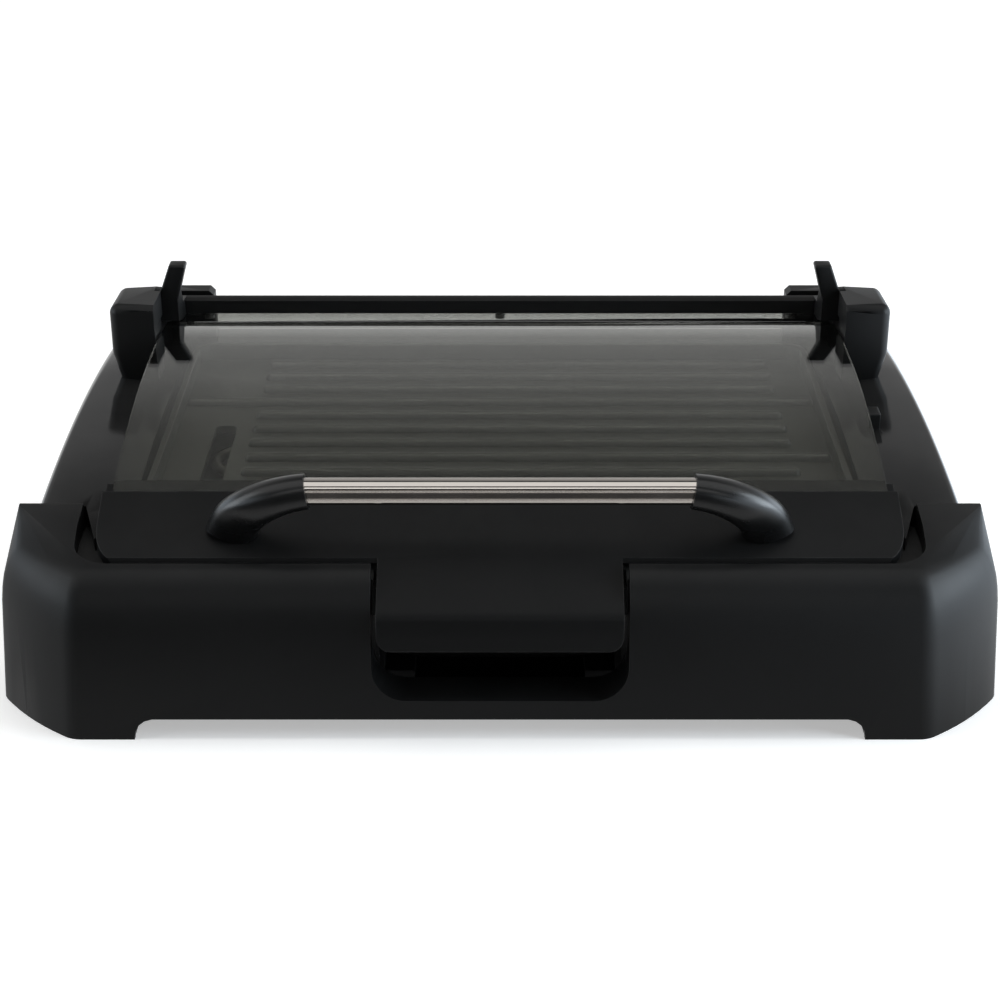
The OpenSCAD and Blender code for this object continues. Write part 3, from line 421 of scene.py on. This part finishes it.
def make_moulded_grain():
    """Spark-eroded grain of a plastic mould, as a height, and its faint tone."""
    group, given, made = make_group("moulded_grain", [("Grains per metre", FLOAT, 2500.0)],
                                    [("Height", FLOAT), ("Tone", FLOAT)])
    place = object_place(group)
    grain = noise(group, place, given["Grains per metre"], detail=3.0, roughness=0.6)
    flow = noise(group, place, scale=9.0, detail=3.0, roughness=0.55)
    feed(group, grain, made["Height"])
    feed(group, remap(group, total(group, grain, flow), *GRAIN_TONES), made["Tone"])
    return group


def make_edge_rubbing_and_highlight():
    """1 on sharp edges, 0 on faces, broken up. It places rubbed wear and painted highlights."""
    group, given, made = make_group("edge_rubbing_and_highlight",
                                    [("Width", FLOAT, 0.001), ("Amount", FLOAT, 1.0)],
                                    [("Mask", FLOAT)])
    rounded = add_node(group, "ShaderNodeBevel", samples=EDGE_SAMPLES)
    feed(group, given["Width"], rounded.inputs["Radius"])
    straight = add_node(group, "ShaderNodeNewGeometry").outputs["Normal"]
    dot = add_node(group, "ShaderNodeVectorMath", operation="DOT_PRODUCT")
    feed(group, rounded.outputs["Normal"], dot.inputs[0])
    feed(group, straight, dot.inputs[1])
    edge = remap(group, dot.outputs["Value"], *EDGE_TURN)
    broken = noise(group, object_place(group), scale=60.0, detail=4.0, roughness=0.6)
    mask = product(group, edge, remap(group, broken, *EDGE_PATCHES, PATCH_LEAST, 1))
    feed(group, math_node(group, "MULTIPLY", mask, given["Amount"], clamp=True), made["Mask"])
    return group


def make_hand_marks():
    """Broad soft smears, from 0 to 1, for the roughness of smooth parts."""
    group, given, made = make_group("hand_marks",
                                    [("Size", FLOAT, 14.0), ("Amount", FLOAT, 1.0)],
                                    [("Mask", FLOAT)])
    smear = add_node(group, "ShaderNodeMapping")
    feed(group, object_place(group), smear.inputs["Vector"])
    smear.inputs["Rotation"].default_value = SMEAR_TURN
    smear.inputs["Scale"].default_value = SMEAR_STRETCH
    broad = noise(group, smear.outputs[0], given["Size"], detail=4.0, roughness=0.6)
    mask = remap(group, broad, *SMEAR_RANGE)
    feed(group, math_node(group, "MULTIPLY", mask, given["Amount"], clamp=True), made["Mask"])
    return group


def make_settled_dust():
    """Specks and a thin film on faces that look up."""
    group, given, made = make_group("settled_dust", [("Amount", FLOAT, 0.2)], [("Mask", FLOAT)])
    place = object_place(group)
    normal = add_node(group, "ShaderNodeNewGeometry").outputs["Normal"]
    level = remap(group, split_axes(group, normal)["Z"], *LEVEL_FACE)
    film = noise(group, place, scale=35.0, detail=5.0, roughness=0.7)
    specks = noise(group, place, scale=900.0, detail=1.0)
    dust = brightest(group, remap(group, film, *FILM_RANGE, FILM_LEAST, FILM_MOST),
                     remap(group, specks, *SPECK_RANGE))
    dust = math_node(group, "MULTIPLY", product(group, level, dust), given["Amount"], clamp=True)
    feed(group, dust, made["Mask"])
    return group


moulded_grain = make_moulded_grain()
edge_rubbing_and_highlight = make_edge_rubbing_and_highlight()
hand_marks = make_hand_marks()
settled_dust = make_settled_dust()
print("groups:", [group.name for group in bpy.data.node_groups])


def place_group(tree, group, **values):
    """Adds a group to a material. A value's name is the input's, with _ for a space."""
    node = add_node(tree, "ShaderNodeGroup", node_tree=group)
    for label, value in values.items():
        feed(tree, value, node.inputs[label.replace("_", " ")])
    return node.outputs


def new_material(name):
    material = bpy.data.materials.new(name)
    material.use_nodes = True
    tree = material.node_tree
    return material, tree, tree.nodes["Principled BSDF"]


def grey(value, warmth=0.0):
    return (value * (1 + warmth), value, value * (1 - warmth), 1)


def bump(tree, height, distance):
    node = add_node(tree, "ShaderNodeBump")
    feed(tree, height, node.inputs["Height"])
    node.inputs["Distance"].default_value = distance
    node.inputs["Strength"].default_value = 1.0
    return node.outputs["Normal"]


# %% [markdown]
# ## Black plastics
# Nearly all of the grill is black plastic, but not the same one. The fascia, the hinge blocks and
# the lid's panel have a fine matte grain, the handle a silkier one, and the housing is polished.
# One recipe serves them all: base tone, grain, smears, paler edges and dust, in other amounts.
# The paler edges are rubbed wear and also a painted highlight, strongest on the lid's panel.

# %% Plastic recipe
EDGE_WIDTH = 0.9 * MM
SMEAR_SIZE = 13.0
COOL = -0.03
TONE_DARK = 0.85
TONE_PALE = 1.15
# How much paler the edges get: partly rubbed wear, partly a painted highlight
EDGE_RUB_AND_HIGHLIGHT_TONE = 2.6
EDGE_RUB_AND_HIGHLIGHT_LIFT = 0.06
DUST_COLOUR = grey(0.16, 0.04)
SMEAR_ROUGHNESS = 0.16
DUST_ROUGHNESS = 0.5
RUBBED_ROUGHNESS = -0.08


def black_plastic(name, tone, roughness, specular, grain_depth, smears, wear_and_highlight, dust,
                  grain_scale=2500.0):
    material, tree, shader = new_material(name)
    grain = place_group(tree, moulded_grain, Grains_per_metre=grain_scale)
    edge = place_group(tree, edge_rubbing_and_highlight, Width=EDGE_WIDTH, Amount=wear_and_highlight)["Mask"]
    marks = place_group(tree, hand_marks, Size=SMEAR_SIZE, Amount=smears)["Mask"]
    film = place_group(tree, settled_dust, Amount=dust)["Mask"]
    colour = blend_colours(tree, grain["Tone"], grey(tone * TONE_DARK, COOL),
                           grey(tone * TONE_PALE, COOL))
    # Paler edges: rubbed wear, and a painted highlight where an edge should catch the light
    colour = blend_colours(tree, edge, colour, grey(tone * EDGE_RUB_AND_HIGHLIGHT_TONE + EDGE_RUB_AND_HIGHLIGHT_LIFT * wear_and_highlight))
    feed(tree, blend_colours(tree, film, colour, DUST_COLOUR), shader.inputs["Base Color"])
    rough = total(tree, roughness, product(tree, marks, SMEAR_ROUGHNESS),
                  product(tree, film, DUST_ROUGHNESS))
    rough = math_node(tree, "ADD", rough, product(tree, edge, RUBBED_ROUGHNESS), clamp=True)
    feed(tree, rough, shader.inputs["Roughness"])
    feed(tree, bump(tree, grain["Height"], grain_depth), shader.inputs["Normal"])
    shader.inputs["Specular IOR Level"].default_value = specular
    return material


materials = {
    "gloss_black": black_plastic("gloss_black", tone=0.010, roughness=0.09, specular=0.5,
                                 grain_depth=0.004 * MM, smears=0.5, wear_and_highlight=0.25, dust=0.10),
    "matte_black": black_plastic("matte_black", tone=0.0055, roughness=0.42, specular=0.21,
                                 grain_depth=0.02 * MM, smears=0.35, wear_and_highlight=0.4, dust=0.05),
    # The panel's edge amount is at full, which paints a pale highlight along its edges
    "panel_black": black_plastic("panel_black", tone=0.0055, roughness=0.46, specular=0.15,
                                 grain_depth=0.02 * MM, smears=0.3, wear_and_highlight=1.0, dust=0.03),
    "inner_black": black_plastic("inner_black", tone=0.004, roughness=0.60, specular=0.10,
                                 grain_depth=0.02 * MM, smears=0.1, wear_and_highlight=0.2, dust=0.03),
    "handle_black": black_plastic("handle_black", tone=0.006, roughness=0.27, specular=0.48,
                                  grain_depth=0.015 * MM, smears=0.5, wear_and_highlight=0.4, dust=0.06,
                                  grain_scale=3200.0),
    "tray_black": black_plastic("tray_black", tone=0.006, roughness=0.38, specular=0.20,
                                grain_depth=0.01 * MM, smears=0.3, wear_and_highlight=0.3, dust=0.08),
    "foot_rubber": black_plastic("foot_rubber", tone=0.012, roughness=0.75, specular=0.15,
                                 grain_depth=0.05 * MM, smears=0.1, wear_and_highlight=0.2, dust=0.2,
                                 grain_scale=1400.0),
}
print("plastics:", sorted(materials))

# %% [markdown]
# The housing is polished wherever it shows. Its deck under the lid's panel isn't: it keeps the
# dull skin of the mould, and so it mirrors nothing beside the fascia.

# %% Matte deck
DECK_TOP = 83 * MM
DECK_FOOT = 60 * MM
DECK_DEPTH = 87 * MM
DECK_ROUGHNESS = 0.85


def leave_deck_matte(material):
    tree = material.node_tree
    roughness = tree.nodes["Principled BSDF"].inputs["Roughness"]
    polished = roughness.links[0].from_socket
    axes = split_axes(tree, object_place(tree))
    deck = product(tree, math_node(tree, "LESS_THAN", axes["Z"], DECK_TOP),
                   math_node(tree, "GREATER_THAN", axes["Z"], DECK_FOOT),
                   math_node(tree, "LESS_THAN", axes["Y"], low.y + DECK_DEPTH))
    feed(tree, brightest(tree, polished, product(tree, deck, DECK_ROUGHNESS)), roughness)


leave_deck_matte(materials["gloss_black"])

# %% [markdown]
# ## Cast plate
# The plate is cast aluminium under a dark non-stick coat. The coat has a light orange peel, a
# fleck of mineral in it, and is rubbed paler along the crests of the ridges.

# %% Non-stick coat
COAT_DARK = (0.050, 0.050, 0.044, 1)
COAT_PALE = (0.062, 0.062, 0.054, 1)
FLECK_COLOUR = (0.16, 0.16, 0.155, 1)
FLECK_RANGE = (0.66, 0.72)
FLECK_SHARE = 0.15
FLECK_HEIGHT = 0.3
CREST_COLOUR = (0.13, 0.13, 0.12, 1)
CREST_WIDTH = 1.2 * MM
PEEL_DEPTH = 0.02 * MM
COAT_SPECULAR = 0.5
COAT_ROUGHNESS = 0.34
COAT_SMEARS = 0.08


def make_nonstick():
    material, tree, shader = new_material("nonstick_cast")
    place = object_place(tree)
    fleck = remap(tree, noise(tree, place, scale=1500.0, detail=1.0), *FLECK_RANGE)
    cloud = noise(tree, place, scale=22.0, detail=4.0, roughness=0.6)
    edge = place_group(tree, edge_rubbing_and_highlight, Width=CREST_WIDTH, Amount=0.5)["Mask"]
    marks = place_group(tree, hand_marks, Size=18.0, Amount=0.8)["Mask"]
    colour = blend_colours(tree, cloud, COAT_DARK, COAT_PALE)
    colour = blend_colours(tree, product(tree, fleck, FLECK_SHARE), colour, FLECK_COLOUR)
    colour = blend_colours(tree, edge, colour, CREST_COLOUR)
    feed(tree, colour, shader.inputs["Base Color"])
    rough = total(tree, COAT_ROUGHNESS, product(tree, marks, COAT_SMEARS))
    feed(tree, rough, shader.inputs["Roughness"])
    peel = total(tree, noise(tree, place, scale=420.0), product(tree, fleck, FLECK_HEIGHT))
    feed(tree, bump(tree, peel, PEEL_DEPTH), shader.inputs["Normal"])
    shader.inputs["Specular IOR Level"].default_value = COAT_SPECULAR
    return material


materials["nonstick_cast"] = make_nonstick()

# %% [markdown]
# ## Metals
# The handle bar is a polished stainless tube. The polish ran along the bar, so its scratches
# stretch along X. Screws are zinc plated, the reflector pan is aluminised sheet with a rolled
# grain, and the heating element has a dark oxidised sheath.

# %% Metal recipes
SCRATCH_DARK = 0.9
SCRATCH_PALE = 1.06
PATINA_TONE = 0.35
PATINA_WARMTH = 0.12
PATINA_RANGE = (0.35, 0.7)
PATINA_ROUGHNESS = 0.2
SCRATCH_ROUGHNESS = 0.10
HANDLED_ROUGHNESS = 0.12


def drawn_metal(name, tone, warmth, roughness, stretch, scratch_depth, patina=0.0):
    """stretch is how often the scratches repeat in a metre along each axis."""
    material, tree, shader = new_material(name)
    drawn = add_node(tree, "ShaderNodeMapping")
    feed(tree, object_place(tree), drawn.inputs["Vector"])
    drawn.inputs["Scale"].default_value = stretch
    hair = noise(tree, drawn.outputs[0], scale=1.0, detail=3.0, roughness=0.65)
    marks = place_group(tree, hand_marks, Size=20.0, Amount=0.7)["Mask"]
    cloud = noise(tree, object_place(tree), scale=45.0, detail=4.0, roughness=0.6)
    cloud = remap(tree, cloud, *PATINA_RANGE, 0, patina)
    colour = blend_colours(tree, hair, grey(tone * SCRATCH_DARK, warmth),
                           grey(tone * SCRATCH_PALE, warmth))
    dulled = grey(tone * PATINA_TONE, warmth + PATINA_WARMTH)
    feed(tree, blend_colours(tree, cloud, colour, dulled), shader.inputs["Base Color"])
    rough = total(tree, roughness, product(tree, hair, SCRATCH_ROUGHNESS),
                  product(tree, marks, HANDLED_ROUGHNESS))
    rough = math_node(tree, "ADD", rough, product(tree, cloud, PATINA_ROUGHNESS), clamp=True)
    feed(tree, rough, shader.inputs["Roughness"])
    feed(tree, bump(tree, hair, scratch_depth), shader.inputs["Normal"])
    shader.inputs["Metallic"].default_value = 1
    return material


materials["handle_steel"] = drawn_metal("handle_steel", tone=0.64, warmth=0.07, roughness=0.06,
                                        stretch=(12, 2200, 2200), scratch_depth=0.004 * MM)
materials["screw_steel"] = drawn_metal("screw_steel", tone=0.55, warmth=0.01, roughness=0.28,
                                       stretch=(900, 900, 900), scratch_depth=0.01 * MM,
                                       patina=0.25)
materials["reflector_sheet"] = drawn_metal("reflector_sheet", tone=0.66, warmth=0.0,
                                           roughness=0.30, stretch=(25, 700, 700),
                                           scratch_depth=0.008 * MM, patina=0.2)
materials["element_sheath"] = drawn_metal("element_sheath", tone=0.20, warmth=0.05,
                                          roughness=0.48, stretch=(60, 900, 900),
                                          scratch_depth=0.02 * MM, patina=0.9)

# %% [markdown]
# The terminals sit in a block of fired ceramic, which is matte and slightly uneven in colour.

# %% Ceramic
CLAY_DARK = (0.66, 0.62, 0.54, 1)
CLAY_PALE = (0.78, 0.75, 0.69, 1)
GLAZE_RANGE = (0.3, 0.7)
GLAZE_SMOOTH = 0.2
GLAZE_ROUGH = 0.45
CLAY_GRAIN = 0.03 * MM


def make_ceramic():
    material, tree, shader = new_material("terminal_ceramic")
    place = object_place(tree)
    colour = blend_colours(tree, noise(tree, place, scale=160.0, detail=4.0), CLAY_DARK, CLAY_PALE)
    feed(tree, colour, shader.inputs["Base Color"])
    patches = noise(tree, place, scale=40.0, detail=3.0)
    feed(tree, remap(tree, patches, *GLAZE_RANGE, GLAZE_SMOOTH, GLAZE_ROUGH),
         shader.inputs["Roughness"])
    feed(tree, bump(tree, noise(tree, place, scale=700.0), CLAY_GRAIN), shader.inputs["Normal"])
    return material


materials["terminal_ceramic"] = make_ceramic()

# %% [markdown]
# ## Smoked glass
# The lid's glass is a solid sheet with grey in its body. A renderer bends light through it but
# lets no lamp light pass in its shadow, so the shader turns thin for shadow rays only, and the
# plate under the lid stays lit, as it is under real glass.

# %% Glass
GLASS_TINT = (0.47, 0.475, 0.445, 1)
GLASS_DUST = (0.62, 0.62, 0.60, 1)
GLASS_SHADE = 0.55
GLASS_IOR = 1.5
GLASS_SMEARS = 0.003


def make_smoked_glass():
    material, tree, shader = new_material("smoked_glass")
    marks = place_group(tree, hand_marks, Size=9.0, Amount=0.6)["Mask"]
    film = place_group(tree, settled_dust, Amount=0.12)["Mask"]
    tint = blend_colours(tree, film, GLASS_TINT, GLASS_DUST)
    feed(tree, tint, shader.inputs["Base Color"])
    feed(tree, product(tree, marks, GLASS_SMEARS), shader.inputs["Roughness"])
    shader.inputs["Transmission Weight"].default_value = 1
    shader.inputs["IOR"].default_value = GLASS_IOR
    shadow = add_node(tree, "ShaderNodeLightPath").outputs["Is Shadow Ray"]
    feed(tree, math_node(tree, "SUBTRACT", 1, product(tree, shadow, GLASS_SHADE)),
         shader.inputs["Alpha"])
    return material


materials["smoked_glass"] = make_smoked_glass()
print("materials:", sorted(materials))

# %% [markdown]
# ## Dressing the construction
# The construction has exact shapes but knife edges. A moulded or pressed part has a small radius
# on every edge, and that radius is what catches the light. Each part is copied, its flat faces
# are merged, and a narrow bevel with smooth shading goes on the sharp edges. The copy stands for
# the part, rides on its body and takes the finish that the record names.

# %% Dressed copies
MERGE = 0.01 * MM
FLAT_ANGLE = math.radians(0.4)
SMOOTH_ANGLE = math.radians(32)
BEVEL_ANGLE = math.radians(30)
BEVEL_SEGMENTS = 3


def shade_smooth(obj):
    mesh = obj.data
    mesh.polygons.foreach_set("use_smooth", [True] * len(mesh.polygons))
    work = bmesh.new()
    work.from_mesh(mesh)
    for edge in work.edges:
        edge.smooth = len(edge.link_faces) == 2 and edge.calc_face_angle(0) < SMOOTH_ANGLE
    work.to_mesh(mesh)
    work.free()


def add_bevel(obj, width):
    bevel = obj.modifiers.new("soft_edges", "BEVEL")
    bevel.width = width
    bevel.segments = BEVEL_SEGMENTS
    bevel.limit_method = "ANGLE"
    bevel.angle_limit = BEVEL_ANGLE
    bevel.use_clamp_overlap = True
    bevel.harden_normals = True
    bevel.miter_outer = "MITER_ARC"


def cleaned_copy(node, name):
    mesh = nodes[node].data.copy()
    work = bmesh.new()
    work.from_mesh(mesh)
    bmesh.ops.remove_doubles(work, verts=work.verts, dist=MERGE)
    bmesh.ops.dissolve_limit(work, angle_limit=FLAT_ANGLE, verts=work.verts, edges=work.edges)
    work.to_mesh(mesh)
    work.free()
    mesh.name = name
    obj = bpy.data.objects.new(name, mesh)
    scene.collection.objects.link(obj)
    return obj


def finish_as(obj, *stands_for):
    """obj stands for these parts, with the finish and the body of the first of them."""
    node = stands_for[0]
    obj.data.materials.clear()
    obj.data.materials.append(materials[slot_of[node]])
    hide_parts(*stands_for)
    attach(obj, body_of[node])


def dress(node, name, width):
    obj = cleaned_copy(node, name)
    shade_smooth(obj)
    if width:
        add_bevel(obj, width)
    finish_as(obj, node)


# Each piece, with the part that it stands for and the width of its bevel in millimetres
dressed = {
    "housing_shell": ("base_housing", 0.8),
    "fascia_shell": ("front_fascia", 0.7),
    "underside_cover": ("bottom_cover", 0.5),
    "hinge_housing_left": ("hinge_block_left", 0.8),
    "hinge_housing_right": ("hinge_block_right", 0.8),
    "hinge_pin_pair": ("hinge_pins", 0.3),
    "rear_foot_pair": ("rear_feet", 0.8),
    "front_pad_pair": ("front_foot_pads", 0.4),
    "cover_screws": ("housing_screws", 0.3),
    "fascia_fixings": ("fascia_screws", 0.3),
    "reflector_pan": ("heat_reflector", 0.25),
    "pan_screws": ("reflector_screws", 0.3),
    "element_tube": ("heating_element", 0.0),
    "element_racks": ("element_supports", 0.3),
    "ceramic_block": ("terminal_block", 0.5),
    "power_pins": ("terminal_pins", 0.4),
    "sensor_sleeve": ("probe_tube", 0.3),
    "socket_shroud": ("probe_socket", 0.5),
    "socket_tab": ("probe_guard", 0.6),
    "grease_tray": ("drip_tray", 0.6),
    "cooking_plate": ("grill_plate", 0.6),
    "plate_border": ("plate_rim", 0.8),
    "rear_rail": ("lid_rear_rail", 0.6),
    "rail_fixings": ("rail_screws", 0.3),
    "hinge_lever_left": ("hinge_arm_left", 0.5),
    "hinge_lever_right": ("hinge_arm_right", 0.5),
    "lid_panel": ("lid_front_panel", 0.6),
    "glass_gasket": ("lid_seal", 0.1),
    "lid_buffers": ("lid_bumpers", 0.5),
    "grip_arm_left": ("handle_arm_left", 0.0),
    "grip_arm_right": ("handle_arm_right", 0.0),
    "grip_bar": ("handle_bar", 0.3),
    "grip_screws": ("handle_screws", 0.3),
    "arched_glass": ("lid_glass", 0.5),
}
for name, (node, width) in dressed.items():
    dress(node, name, width * MM)
print("dressed:", len(dressed))
